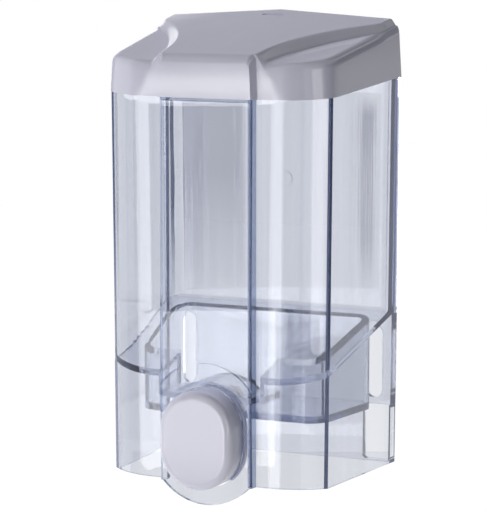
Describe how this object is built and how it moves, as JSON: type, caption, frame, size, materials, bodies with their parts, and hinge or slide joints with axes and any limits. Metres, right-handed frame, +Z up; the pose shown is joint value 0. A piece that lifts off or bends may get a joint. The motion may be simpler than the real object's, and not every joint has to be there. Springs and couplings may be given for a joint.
{
  "type": "wall mounted soap dispenser",
  "caption": "Clear wall mounted soap dispenser: tank and skirt in one piece, white lid hinged at its front edge with a key slot, oval push button working a piston pump.",
  "frame": {"origin": "midway between the two wall screw holes, on the wall plane", "axes": "+Z up, +Y into the wall, so the front and the button face -Y, and +X to the viewer's right"},
  "size_m": [0.1012, 0.0779, 0.1833],
  "materials": {
    "clear_shell": "clear polished plastic with a faint blue tint",
    "lid_plastic": "smooth white gloss",
    "latch_plastic": "smooth white",
    "pin_steel": "drawn steel",
    "button_plastic": "smooth white gloss",
    "pump_plastic": "natural milky plastic",
    "seal_rubber": "black rubber",
    "spring_steel": "drawn stainless wire",
    "ball_glass": "ground ball",
    "ball_steel": "ground ball"
  },
  "bodies": {
    "tank": {"body_shell": "clear_shell", "pump_barrel": "pump_plastic", "valve_plug": "pump_plastic", "inlet_seat": "seal_rubber", "inlet_gasket": "seal_rubber", "lock_nut": "pump_plastic", "outlet_spring": "spring_steel", "nozzle_seal": "seal_rubber", "nozzle_cap": "pump_plastic", "return_spring": "spring_steel"},
    "cover": {"lid": "lid_plastic", "lid_latch": "latch_plastic", "latch_pin": "pin_steel"},
    "plunger": {"push_button": "button_plastic", "piston": "pump_plastic", "piston_seal": "seal_rubber"},
    "inlet_valve": {"inlet_ball": "ball_glass"},
    "outlet_valve": {"outlet_ball": "ball_steel"}
  },
  "joints": [
    {"name": "lid_hinge", "type": "hinge", "parent": "tank", "child": "cover", "pos_m": [0, -0.0692, -0.013], "axis": [1, 0, 0], "range_deg": [0, 70], "deforming": ["lid_latch"]},
    {"name": "button_slide", "type": "slide", "parent": "tank", "child": "plunger", "axis": [0, 1, 0], "range_m": [0, 0.0075], "stiffness_N_per_m": 600, "springref_m": -0.004, "deforming": ["return_spring"]},
    {"name": "inlet_ball_slide", "type": "slide", "parent": "tank", "child": "inlet_valve", "axis": [0, -1, 0], "range_m": [0, 0.0008]},
    {"name": "outlet_ball_slide", "type": "slide", "parent": "tank", "child": "outlet_valve", "axis": [0, 0, -1], "range_m": [0, 0.0007], "stiffness_N_per_m": 20, "springref_m": -0.0005, "deforming": ["outlet_spring"]}
  ]
}
